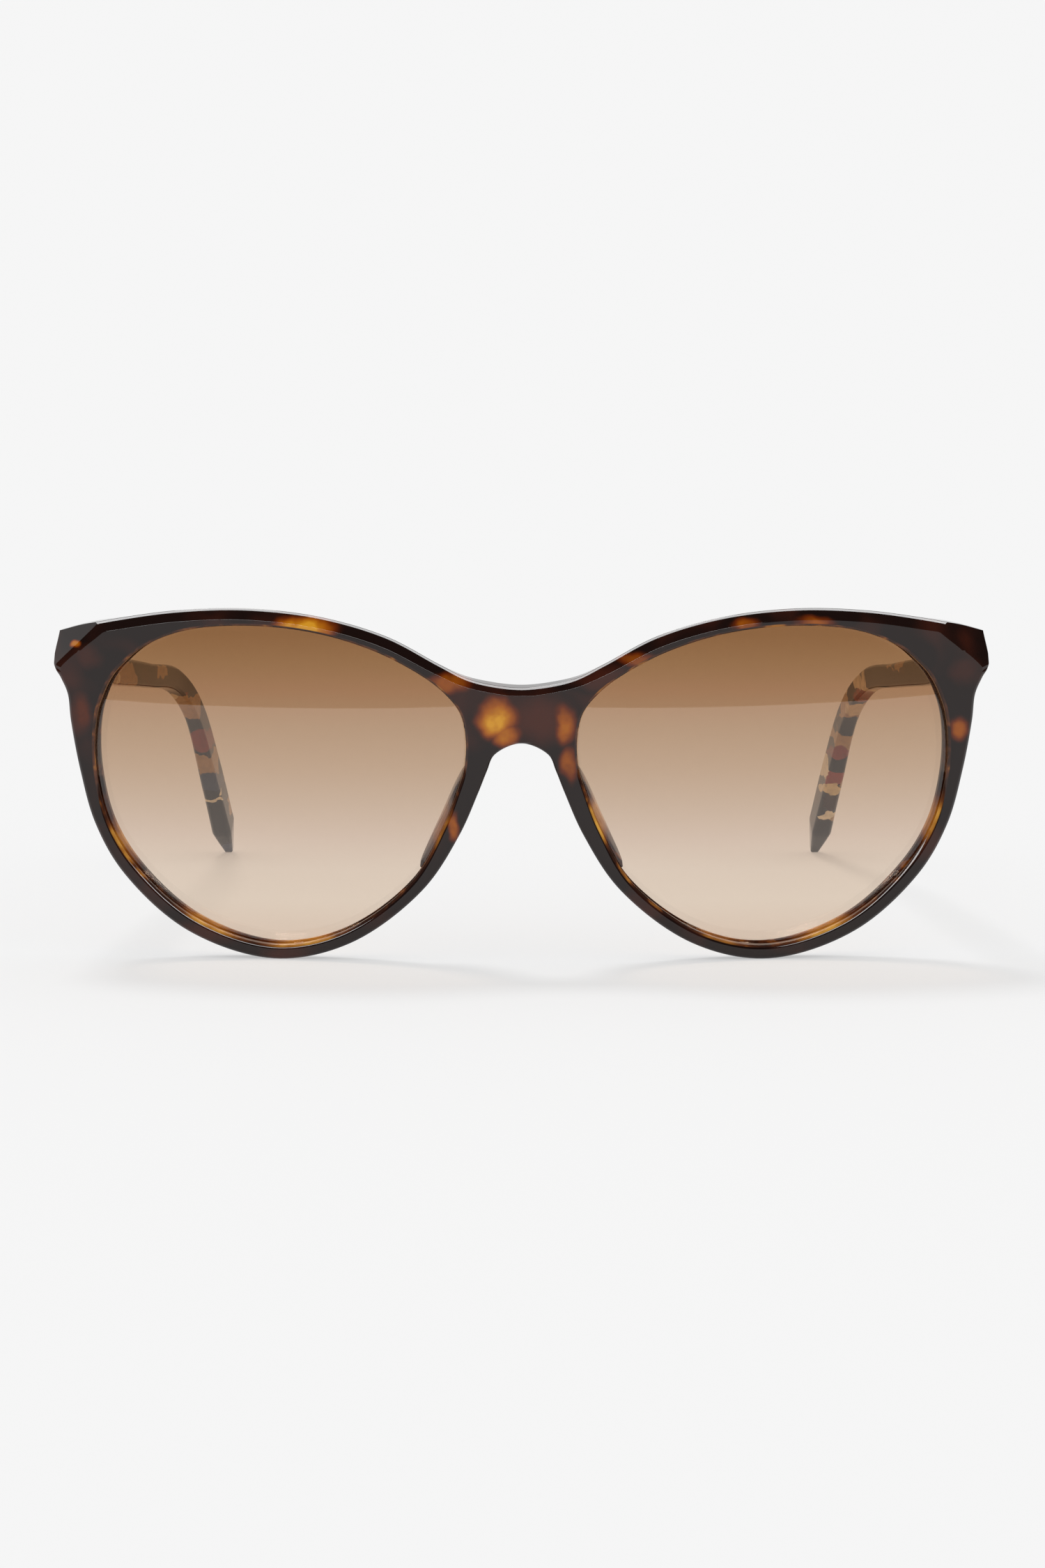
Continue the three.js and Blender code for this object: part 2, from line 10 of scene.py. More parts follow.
import bmesh
import bpy
import numpy as np
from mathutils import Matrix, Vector


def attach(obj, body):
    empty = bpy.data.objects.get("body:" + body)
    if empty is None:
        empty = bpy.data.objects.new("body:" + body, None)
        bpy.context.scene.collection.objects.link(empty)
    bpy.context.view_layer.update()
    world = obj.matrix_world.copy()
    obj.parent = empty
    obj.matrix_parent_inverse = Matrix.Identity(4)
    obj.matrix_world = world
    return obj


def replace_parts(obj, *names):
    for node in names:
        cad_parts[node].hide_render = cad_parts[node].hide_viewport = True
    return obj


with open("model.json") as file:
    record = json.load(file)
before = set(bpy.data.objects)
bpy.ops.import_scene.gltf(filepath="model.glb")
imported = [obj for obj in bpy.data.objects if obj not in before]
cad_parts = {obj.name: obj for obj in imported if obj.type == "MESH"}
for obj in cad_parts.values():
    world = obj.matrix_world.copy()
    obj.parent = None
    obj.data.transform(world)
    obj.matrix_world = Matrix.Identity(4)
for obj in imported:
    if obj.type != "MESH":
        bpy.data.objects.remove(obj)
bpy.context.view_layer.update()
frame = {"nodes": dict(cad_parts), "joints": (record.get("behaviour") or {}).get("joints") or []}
MM = 0.001

# ---------------------------------------------------------------- dimensions, as in the CAD model
FRONT_TILT = math.radians(4.5)
FRONT_RADIUS = 315.0  # the front bows back from the nose on this radius
RIM_DEPTH = 4.0
BRIDGE_EXTRA, BRIDGE_REACH = 1.3, 9.0  # the rim is this much deeper at the bridge, fading over this width
CHAMFER, CHAMFER_DROP = 0.5, 0.4
BACK_EASE = 0.3
GROOVE_DEPTH, GROOVE_HALF = 1.05, 1.1
BUTT = 13.4  # depth at which an endpiece ends and its temple starts
LENS_RADIUS, LENS_HALF = 138.0, 0.85  # a lens's middle surface, and half its thickness
LENS_TURN = math.radians(6.3)
LENS_CENTRE = (36.5, 27.5)
LENS_SET = 2.2  # depth of a lens's middle surface at its centre
FIT = 0.3  # clearance between pieces
EDGE_ROUND = 0.45
BEVEL = {"width": 1.1, "brow_width": 1.6, "slope": 0.64, "drop": 0.3, "shoulder": 0.45}
FACET_FROM, FACET_TO, FACET_SLOPE = (65.0, 51.1), (71.3, 45.1), 1.05
LEAST_CROSS = 0.5  # a rib counts as crossing the facet's line at least this squarely
HINGE_X, HINGE_V, HINGE_BACK = 65.5, 45.9, 2.0
LEAF_THICK = 1.0
FRONT_LEAF = {"from": 64.6, "to": 68.9, "half": 2.95, "screw_x": 67.7, "screw_step": 1.6}
TEMPLE_LEAF = {"from": 1.1, "to": 12.5, "half": 2.0, "lift": 0.3, "screws": (5.2, 8.6)}
TACK_SHANK = 0.5

# Ribs of the wearer's left half: inner edge, outer edge, and whether the outline turns sharply there
RIBS = [
    ((8.1, 36.0), (-3, 33.85), True),
    ((8.25, 36.7), (-3, 42.3), True),
    ((8.35, 37.25), (0, 42.3), True),
    ((9, 39), (4.2, 42.7), False),
    ((10.65, 41.15), (8.2, 43.7), False),
    ((13.7, 43.8), (12.4, 45.8), False),
    ((21.25, 47.95), (20.3, 49.95), False),
    ((30.9, 50.9), (30.5, 52.85), False),
    ((41.5, 51.9), (41.6, 53.95), False),
    ((51.2, 50.95), (52.2, 53.45), False),
    ((57.8, 48.25), (61, 52.1), False),
    ((61.2, 45.4), (66.8, 50.85), False),
    ((62.7, 43.7), (70.9, 49.5), True),
    ((63.85, 41.75), (71.5, 44.8), False),
    ((64.6, 40), (70.4, 42.7), False),
    ((65.2, 38.2), (69.4, 40.3), False),
    ((65.75, 34.6), (69, 36.2), False),
    ((65.7, 28.6), (67.7, 28.5), False),
    ((63.9, 20.6), (65.5, 20.2), False),
    ((59.7, 13.6), (61.1, 12.5), False),
    ((50.5, 5.6), (51.3, 3.95), False),
    ((38, 1.75), (38, 0), False),
    ((27, 4.1), (26.2, 2.65), False),
    ((16.4, 12.1), (15.1, 11.05), False),
    ((11.55, 20.45), (9.4, 19.7), False),
    ((9.2, 26.55), (6.5, 26.3), False),
    ((8.2, 29.85), (5.2, 29.6), False),
    ((7.9, 33.1), (4.05, 32.1), False),
    ((8, 35.2), (0, 33.85), True),
]
# Stretches of the rim, counted in ribs: where each starts to swell, is whole, starts to fade and has gone
ENDPIECE = (9.2, 11.0, 14.2, 16.0)
BROW = (3, 6, 10, 12.5)
BROW_END = (12.95, 13.55)  # the brow's bevel fades to a plain rounded edge here
BROW_FALL = 0.45  # how far in the brow's back edge lies from its front edge
# Two places across the back: shares of the rim's width, and distances from the lens opening at the endpiece
RIM_BACK = (0.66, 0.33)
LUG_BACK = (1.3, 0.5)
SHARPEST = 0.3  # a rib counts as crossing the outline at least this squarely
RIB_NUDGE = 0.02  # the step in ribs that finds the outline's direction

# Temple: centre line, height and thickness
TEMPLE = [
    ((69.35, 10.1, 46.8), 6.5, 3.7),
    ((68.35, 21.6, 44.75), 5.8, 3.6),
    ((67.1, 36, 42.3), 4.8, 3.4),
    ((64.5, 65, 39.3), 4.1, 3.1),
    ((62, 91, 36.2), 4.1, 2.8),
    ((60, 105, 29.6), 4.5, 2.8),
    ((58.2, 118.5, 16.2), 5.4, 3.3),
    ((57.1, 128.6, 6), 5, 3.7),
    ((56.5, 134, 0.82), 1.7, 1.6),
]
TEMPLE_EASE = 0.15

PAD = {"from": 23.2, "to": 26.2, "deep": 5.2, "narrow": 0.6, "blunt": 0.08}
# Section of a pad: distance in from the outline, share of its depth, and rounding
PAD_SECTION = [
    (0.35, 0, 0.1),
    (0.5, 0.25, 0.8),
    (2.1, 0.8, 0.8),
    (2.65, 1, 0.4),
    (3.65, 1, 0.4),
    (3.35, 0.45, 0.9),
    (2.4, 0, 0.1),
]

HINGE_Y = (BUTT + HINGE_BACK) * math.cos(FRONT_TILT) - HINGE_V * math.sin(FRONT_TILT)
HINGE_Z = HINGE_V * math.cos(FRONT_TILT) + (BUTT + HINGE_BACK) * math.sin(FRONT_TILT)

# ---------------------------------------------------------------- dimensions of the looks alone
LINE_SHOULDER = 0.7  # the bright line along the brow is a little wider than in the CAD model
HALF_WIDTH = 71.49  # the smoother outline stays inside the CAD model's width
STEPS_PER_RIB = 12
RING = len(RIBS) * STEPS_PER_RIB
TEMPLE_STEPS = 14
TEMPLE_NUDGE = 0.0008  # the step that finds the centre line's direction
TEMPLE_ARC = 2
PAD_STEPS = 48
PAD_ARC = 5
# Rings of a lens surface, as shares of the way from its centre to its edge
LENS_SHARES = (0.04, 0.12, 0.22, 0.32, 0.42, 0.52, 0.62, 0.72, 0.82, 0.91, 0.97, 1.0)
# How far from each corner of the rim's section its rounding starts
CUT = {
    "groove": 0.05, "lip": 0.06, "chamfer": 0.12, "face": 0.28,
    "bevel": 0.08, "side": 0.4, "brow_side": 0.12, "back": 0.3,
}
MOST_OF_EDGE = 0.45  # a rounding takes up at most this share of each edge beside it
HOLE_REACH = {"front": 3.0, "temple": 2.4}  # half lengths of the tools that cut the screw holes
SHARP = {"front": 32, "lens": 25, "pad": 50, "temple": 25}  # edges that turn by more degrees stay sharp
WALL_STEPS = 240
# A point is on a wall this far inside the opening's edge, or this far behind the face and near the edge
WALL_INSIDE, WALL_BEHIND, WALL_NEAR = 0.12, 1.2, 1.2


# ---------------------------------------------------------------- curves
def mix(a, b, t):
    return a + (b - a) * t


def smoothstep(x, low, high):
    t = min(max((x - low) / (high - low), 0.0), 1.0)
    return t * t * (3 - 2 * t)


def spline(points, closed=False):
    """Centripetal Catmull-Rom curve. The function it returns takes a number that counts the points."""
    pts = [np.array(p, float) for p in points]
    count = len(pts)

    def at(number):
        if closed:
            i = math.floor(number)
            p0, p1, p2, p3 = (pts[(i + k) % count] for k in (-1, 0, 1, 2))
        else:
            i = min(max(math.floor(number), 0), count - 2)
            p1, p2 = pts[i], pts[i + 1]
            p0 = pts[i - 1] if i > 0 else 2 * pts[0] - pts[1]
            p3 = pts[i + 2] if i + 2 < count else 2 * pts[-1] - pts[-2]
        t = number - i
        gaps = [max(np.linalg.norm(b - a) ** 0.5, 1e-4) for a, b in ((p0, p1), (p1, p2), (p2, p3))]
        d0, d1, d2 = gaps
        start = ((p1 - p0) / d0 - (p2 - p0) / (d0 + d1) + (p2 - p1) / d1) * d1
        end = ((p2 - p1) / d1 - (p3 - p1) / (d1 + d2) + (p3 - p2) / d2) * d1
        quadratic = -3 * p1 + 3 * p2 - 2 * start - end
        cubic = 2 * p1 - 2 * p2 + start + end
        return p1 + start * t + quadratic * t**2 + cubic * t**3

    return at


def cornered(points, corners):
    """Closed curve through points, sharp at the corners and square to the middle plane where it crosses."""
    count = len(points)
    stretches = []
    for k, first in enumerate(corners):
        last = corners[k + 1] if k + 1 < len(corners) else corners[0] + count
        run = [points[i % count] for i in range(first, last + 1)]
        starts_on_middle = run[0][0] == 0 and len(run) > 2
        ends_on_middle = run[-1][0] == 0 and len(run) > 2
        if starts_on_middle:
            run.insert(0, (-run[1][0], run[1][1]))
        if ends_on_middle:
            run.append((-run[-2][0], run[-2][1]))
        stretches.append((first, last, first - starts_on_middle, spline(run)))

    def at(number):
        number %= count
        for first, last, base, curve in stretches:
            if number < last:
                return curve(number - base)
        first, _, base, curve = stretches[-1]
        return curve(number - base)

    return at


def rounded(points, cuts, steps=3):
    """Closed polygon with each corner replaced by a short arc that starts and ends cuts from the corner."""
    count = len(points)
    made = []
    for i, p in enumerate(points):
        before, after = points[i - 1] - p, points[(i + 1) % count] - p
        long_before, long_after = np.linalg.norm(before), np.linalg.norm(after)
        start = p + before / max(long_before, 1e-9) * min(cuts[i], MOST_OF_EDGE * long_before)
        end = p + after / max(long_after, 1e-9) * min(cuts[i], MOST_OF_EDGE * long_after)
        for k in range(steps + 1):
            t = k / steps
            made.append((1 - t) ** 2 * start + 2 * t * (1 - t) * p + t**2 * end)
    return made


# ---------------------------------------------------------------- the front's own axes
inner_edge = spline([rib[0] for rib in RIBS], closed=True)
outer_edge = cornered([rib[1] for rib in RIBS], [i for i, rib in enumerate(RIBS) if rib[2]])


def wrap(u):
    return u**2 / (2 * FRONT_RADIUS)


def on_front(p, depth, square):
    """Point at a depth behind the bowed face, measured square to it or else straight back."""
    slope = p[0] / FRONT_RADIUS if square else 0.0
    c = 1 / math.hypot(1, slope)
    return np.array([p[0] - depth * slope * c, wrap(p[0]) + depth * c, p[1]])


def lens_depth(u, v, offset=0.0):
    """Depth of a lens surface, which lies as far as offset behind the middle surface."""
    du = u - LENS_CENTRE[0] + LENS_RADIUS * math.sin(LENS_TURN)
    dv = v - LENS_CENTRE[1]
    back = LENS_SET + LENS_RADIUS * math.cos(LENS_TURN)
    return back - math.sqrt((LENS_RADIUS - offset) ** 2 - du**2 - dv**2)


class Rib:
    """One place along the rim: a line in the front's plane from the lens opening to the outline."""

    def __init__(self, number):
        self.inner = inner_edge(number)
        self.outer = outer_edge(number)
        self.outer[0] = min(self.outer[0], HALF_WIDTH)
        out = self.outer - self.inner
        self.width = np.linalg.norm(out)
        self.out = out / self.width
        edge_way = outer_edge(number + RIB_NUDGE) - outer_edge(number - RIB_NUDGE)
        edge_way /= np.linalg.norm(edge_way)
        self.square = max(SHARPEST, abs(self.out[0] * edge_way[1] - self.out[1] * edge_way[0]))
        wall = self.at(-2 * CHAMFER)
        self.middle = lens_depth(*wall) - wrap(wall[0])
        self.deep = RIM_DEPTH + BRIDGE_EXTRA * math.exp(-((self.inner[0] / BRIDGE_REACH) ** 2))

    def at(self, r):
        return self.inner + self.out * r

    def point(self, r, depth, square):
        return on_front(self.at(r), depth, square)

    def back(self, r, lift):
        """Point on the back, which lift takes from the rim's own depth to the butt."""
        p = self.at(r)
        return np.array([p[0], mix(wrap(p[0]) + self.deep, BUTT, lift), p[1]])


def facet_width(rib):
    """How much of a rib the cut corner of the endpiece takes off."""
    along = np.subtract(FACET_TO, FACET_FROM)
    along = along / np.linalg.norm(along)
    normal = np.array([-along[1], along[0]])
    beyond = (rib.outer - FACET_FROM) @ normal
    return max(0.0, beyond / max(rib.out @ normal, LEAST_CROSS))


def face_corners(rib, number, swell):
    """Corners of the rim's section from the chamfer to the outside, each with the size of its rounding."""
    brow = 1 - smoothstep(number, *BROW_END)
    ease = EDGE_ROUND / rib.square
    facet = facet_width(rib) if ENDPIECE[0] < number < ENDPIECE[2] else 0.0
    broad = mix(BEVEL["width"], BEVEL["brow_width"], swell)
    bevel = mix(EDGE_ROUND, broad, brow) / rib.square
    shoulder = mix(BEVEL["shoulder"], LINE_SHOULDER, brow)
    narrowed = broad - (shoulder - BEVEL["shoulder"]) * EDGE_ROUND
    fore = mix(shoulder * EDGE_ROUND, BEVEL["slope"] * narrowed, brow)
    side = mix(EDGE_ROUND, BEVEL["slope"] * broad + BEVEL["drop"], brow) + facet * FACET_SLOPE
    wide = rib.width
    return [
        (rib.point(-CHAMFER, CHAMFER_DROP, True), CUT["chamfer"]),
        (rib.point(0, 0, True), CUT["face"]),
        (rib.point(wide - facet - bevel, 0, False), CUT["bevel"]),
        (rib.point(wide - facet - shoulder * ease, fore, False), CUT["bevel"]),
        (rib.point(wide, side, False), mix(CUT["side"], CUT["brow_side"], brow)),
    ]


def back_corners(rib, number, swell):
    """Corners of the rim's section from the outside to the wall of the lens opening."""
    lug = smoothstep(number, *ENDPIECE[:2]) - smoothstep(number, *ENDPIECE[2:])
    wide = rib.width
    top = wide - BROW_FALL * swell
    corners = [
        rib.back(top, lug) - np.array([0, BACK_EASE, 0]),
        rib.back(top - BACK_EASE, lug),
        rib.back(mix(RIM_BACK[0] * wide, LUG_BACK[0], lug), lug),
        rib.back(mix(RIM_BACK[1] * wide, LUG_BACK[1], lug), 0),
        rib.point(BACK_EASE - CHAMFER, rib.deep, True),
        rib.point(-CHAMFER, rib.deep - BACK_EASE, True),
    ]
    return [(corner, CUT["back"]) for corner in corners]


def rim_section(number):
    """The rim's section as a closed loop of points, with its corners rounded."""
    rib = Rib(number)
    swell = smoothstep(number, *BROW[:2]) - smoothstep(number, *BROW[2:])
    corners = [
        (rib.point(GROOVE_DEPTH - CHAMFER, rib.middle, True), CUT["groove"]),
        (rib.point(-CHAMFER, rib.middle - GROOVE_HALF, True), CUT["lip"]),
        *face_corners(rib, number, swell),
        *back_corners(rib, number, swell),
        (rib.point(-CHAMFER, rib.middle + GROOVE_HALF, True), CUT["lip"]),
    ]
    return rounded([corner for corner, _ in corners], [cut for _, cut in corners])


# ---------------------------------------------------------------- meshes
def lean(p):
    """From the front's axes to the design frame."""
    u, w, v = p
    cos, sin = math.cos(FRONT_TILT), math.sin(FRONT_TILT)
    return np.array([u, w * cos - v * sin, v * cos + w * sin])


hinge = next(j for j in frame["joints"] if j["name"] == "fold_left")
OFFSET = Vector(hinge["pos_m"]) - Vector((HINGE_X, HINGE_Y, HINGE_Z)) * MM


def place(p):
    """From the design frame in millimetres to the row frame in metres."""
    return Vector(p) * MM + OFFSET


def skin(rows, ring):
    """bmesh through rows of points, each a closed loop, with its ends closed unless the rows go round."""
    bm = bmesh.new()
    verts = [[bm.verts.new(p) for p in row] for row in rows]
    size = len(rows[0])
    for i in range(len(rows) if ring else len(rows) - 1):
        here, there = verts[i], verts[(i + 1) % len(rows)]
        for j in range(size):
            k = (j + 1) % size
            bm.faces.new((here[j], there[j], there[k], here[k]))
    if not ring:
        bm.faces.new(verts[0])
        bm.faces.new(verts[-1])
    bmesh.ops.recalc_face_normals(bm, faces=bm.faces)
    return bm


def mirror(bm):
    """A mirrored copy of bm across the middle plane."""
    other = bm.copy()
    bmesh.ops.scale(other, vec=(-1, 1, 1), verts=other.verts)
    bmesh.ops.reverse_faces(other, faces=other.faces)
    return other


def to_object(name, bm, angle=SHARP["front"]):
    mesh = bpy.data.meshes.new(name)
    bm.to_mesh(mesh)
    bm.free()
    mesh.shade_smooth()
    mesh.set_sharp_from_angle(angle=math.radians(angle))
    obj = bpy.data.objects.new(name, mesh)
    bpy.context.scene.collection.objects.link(obj)
    return obj


def cut(obj, cutters):
    """Subtracts each cutter (a bmesh in the row frame) from obj and applies the result."""
    helpers = []
    for i, bm in enumerate(cutters):
        helper = to_object(f"{obj.name}_cutter_{i}", bm)
        modifier = obj.modifiers.new(helper.name, "BOOLEAN")
        modifier.operation, modifier.solver, modifier.object = "DIFFERENCE", "EXACT", helper
        helpers.append(helper)
    bpy.context.view_layer.update()
    made = bpy.data.meshes.new_from_object(obj.evaluated_get(bpy.context.evaluated_depsgraph_get()))
    obj.modifiers.clear()
    obj.data = made
    for helper in helpers:
        bpy.data.objects.remove(helper)
    return obj


def weighted(obj):
    """Large flat faces keep flat shading beside their rounded edges."""
    modifier = obj.modifiers.new("even_shading", "WEIGHTED_NORMAL")
    modifier.keep_sharp = True
    return obj


def box_mesh(x, y, z, put):
    """Box between two values on each axis, with put() taking its corners to the row frame."""
    bm = bmesh.new()
    corners = [bm.verts.new(put((a, b, c))) for a in x for b in y for c in z]
    for quad in ((0, 1, 3, 2), (4, 6, 7, 5), (0, 4, 5, 1), (2, 3, 7, 6), (0, 2, 6, 4), (1, 5, 7, 3)):
        bm.faces.new([corners[i] for i in quad])
    bmesh.ops.recalc_face_normals(bm, faces=bm.faces)
    return bm


def rod_mesh(radius, start, end, put, sides=24):
    """Round rod between two points, with put() taking its points to the row frame."""
    start, end = Vector(start), Vector(end)
    turn = (end - start).to_track_quat("Z", "Y")
    rows = []
    for base in (start, end):
        angles = [2 * math.pi * k / sides for k in range(sides)]
        spokes = [Vector((radius * math.cos(a), radius * math.sin(a), 0)) for a in angles]
        rows.append([put(base + turn @ spoke) for spoke in spokes])
    return skin(rows, ring=False)


# ---------------------------------------------------------------- front
def on_frame(p):
    """From the front's axes to the row frame."""
    return place(lean(p))


def front_half():
    """The wearer's left half of the front, cut off at the middle plane."""
    rows = []
    for i in range(RING):
        rows.append([on_frame(p) for p in rim_section(i / STEPS_PER_RIB)])
    bm = skin(rows, ring=True)
    middle = Vector((OFFSET.x, 0, 0))
    geometry = bm.verts[:] + bm.edges[:] + bm.faces[:]
    cut_plane = bmesh.ops.bisect_plane(
        bm, geom=geometry, plane_co=middle, plane_no=(1, 0, 0), dist=1e-7, clear_inner=True
    )
    for element in cut_plane["geom_cut"]:
        if isinstance(element, bmesh.types.BMVert):
            element.co.x = OFFSET.x
    return bm


def front_cutters():
    """Tools that cut the pockets of the front hinge leaves and the holes of their screws."""
    leaf = FRONT_LEAF
    pocket = box_mesh(
        (leaf["from"] - FIT, leaf["to"] + FIT),
        (BUTT - LEAF_THICK - FIT, BUTT + 4 * FIT),
        (HINGE_V - leaf["half"] - FIT, HINGE_V + leaf["half"] + FIT),
        on_frame,
    )
    cutters = [pocket]
    for side in (-1, 1):
        x, v = leaf["screw_x"], HINGE_V + side * leaf["screw_step"]
        start, end = (x, BUTT - HOLE_REACH["front"], v), (x, BUTT + HOLE_REACH["front"], v)
        cutters.append(rod_mesh(TACK_SHANK + FIT, start, end, on_frame))
    return cutters + [mirror(bm) for bm in cutters]


def front():
    """Both halves joined at the middle plane, with the hinges' pockets and holes cut out."""
    bm = front_half()
    other = mirror(bm)
    scrap = bpy.data.meshes.new("scrap")
    other.to_mesh(scrap)
    other.free()
    bm.from_mesh(scrap)
    bpy.data.meshes.remove(scrap)
    bmesh.ops.remove_doubles(bm, verts=bm.verts, dist=2e-6)
    bmesh.ops.recalc_face_normals(bm, faces=bm.faces)
    return weighted(cut(to_object("acetate_front", bm), front_cutters()))


# ---------------------------------------------------------------- lenses
def lens(name, side):
    """A lens: two spherical surfaces that meet the groove's slopes at a sharp rim."""
    v_shift = FIT / math.sin(math.atan2(GROOVE_HALF, GROOVE_DEPTH))
    apex = GROOVE_DEPTH - CHAMFER - v_shift
    shoulder = apex - LENS_HALF * GROOVE_DEPTH / GROOVE_HALF
    centre = np.array([LENS_CENTRE[0], 0.0, LENS_CENTRE[1]])
    stations = [Rib(i / STEPS_PER_RIB) for i in range(RING)]
    bm = bmesh.new()

    def ring_of(points):
        return [bm.verts.new(on_frame(p)) for p in points]

    def surface_ring(share, offset):
        edge = [on_front(r.at(shoulder), r.middle + offset, True) for r in stations]
        spread = [centre + (p - centre) * share for p in edge]
        return ring_of([(u, lens_depth(u, v, offset), v) for u, _, v in spread])

    rings = [surface_ring(share, -LENS_HALF) for share in LENS_SHARES]
    rings.append(ring_of([on_front(r.at(apex), r.middle, True) for r in stations]))
    rings += [surface_ring(share, LENS_HALF) for share in reversed(LENS_SHARES)]
    for a, b in zip(rings, rings[1:]):
        for i in range(RING):
            k = (i + 1) % RING
            bm.faces.new((a[i], b[i], b[k], a[k]))
    bm.faces.new(rings[0])
    bm.faces.new(rings[-1])
    bmesh.ops.recalc_face_normals(bm, faces=bm.faces)
    if side < 0:
        bm = mirror(bm)
    return to_object(name, bm, SHARP["lens"])


# ---------------------------------------------------------------- nose pads
def nose_pad(name, side):
    """A pad behind the nasal rim: its section swells and fades along the rim like a half circle."""
    rows = []
    cuts = [cut for _, _, cut in PAD_SECTION]
    for i in range(PAD_STEPS + 1):
        t = i / PAD_STEPS
        swell = mix(PAD["blunt"], 1, math.sqrt(1 - (2 * t - 1) ** 2))
        rib = Rib(mix(PAD["from"], PAD["to"], t))
        floor_w = wrap(rib.inner[0]) + rib.deep + FIT
        reach = mix(PAD["narrow"], 1, swell)
        corners = []
        for across, share, _ in PAD_SECTION:
            p = rib.at(rib.width - across * reach)
            corners.append(np.array([p[0], floor_w + share * PAD["deep"] * swell, p[1]]))
        rows.append([on_frame(p) for p in rounded(corners, cuts, PAD_ARC)])
    bm = skin(rows, ring=False)
    if side < 0:
        bm = mirror(bm)
    return to_object(name, bm, SHARP["pad"])


# ---------------------------------------------------------------- temples
temple_line = spline([s[0] for s in TEMPLE])


def temple_station(number):
    """Centre, three directions, height and thickness at a place that counts the centre line's points."""
    last = len(TEMPLE) - 1
    number = min(number, last)
    i = min(int(number), last - 1)
    along = temple_line(min(number + TEMPLE_NUDGE, last)) - temple_line(max(number - TEMPLE_NUDGE, 0))
    along /= np.linalg.norm(along)
    out = np.array([along[1], -along[0], 0])
    out /= np.linalg.norm(out)
    up = np.cross(out, along)
    high = mix(TEMPLE[i][1], TEMPLE[i + 1][1], number - i)
    thick = mix(TEMPLE[i][2], TEMPLE[i + 1][2], number - i)
    return temple_line(number), along, out, up, high, thick


def temple_section(number):
    centre, _, out, up, high, thick = temple_station(number)
    ease = TEMPLE_EASE * min(thick, high)
    a, b = thick / 2, high / 2
    corners = [
        (a, b - ease), (a - ease, b), (ease - a, b), (-a, b - ease),
        (-a, ease - b), (ease - a, -b), (a - ease, -b), (a, ease - b),
    ]
    points = [centre + out * across + up * rise for across, rise in corners]
    return rounded(points, [MOST_OF_EDGE * ease] * len(points), TEMPLE_ARC)


def on_temple(p):
    """From the front end of the temple's inner face (out, along, up) to the row frame."""
    centre, along, out, up, _, thick = temple_station(0)
    return place(centre + out * (p[0] - thick / 2) + along * p[1] + up * p[2])


def temple_cutters():
    """Tools that cut the pocket of the temple hinge leaf and the holes of its screws."""
    leaf = TEMPLE_LEAF
    pocket = box_mesh(
        (-4 * FIT, LEAF_THICK + FIT),
        (leaf["from"] - 6 * FIT, leaf["to"] + FIT),
        (leaf["lift"] - leaf["half"] - FIT, leaf["lift"] + leaf["half"] + FIT),
        on_temple,
    )
    cutters = [pocket]
    for along in leaf["screws"]:
        start, end = (-HOLE_REACH["temple"], along, 0), (HOLE_REACH["temple"], along, 0)
        cutters.append(rod_mesh(TACK_SHANK + FIT, start, end, on_temple))
    return cutters


def temple(name, side):
    """A temple, whose front end is cut parallel to the endpiece's back."""
    first = []
    for p in temple_section(0):
        y = (BUTT + FIT - p[2] * math.sin(FRONT_TILT)) / math.cos(FRONT_TILT)
        first.append(place((p[0], y, p[2])))
    rows = [first]
    for i in range(1, (len(TEMPLE) - 1) * TEMPLE_STEPS + 1):
        rows.append([place(p) for p in temple_section(i / TEMPLE_STEPS)])
    bm = skin(rows, ring=False)
    cutters = temple_cutters()
    if side < 0:
        bm = mirror(bm)
        cutters = [mirror(c) for c in cutters]
    return weighted(cut(to_object(name, bm, SHARP["temple"]), cutters))


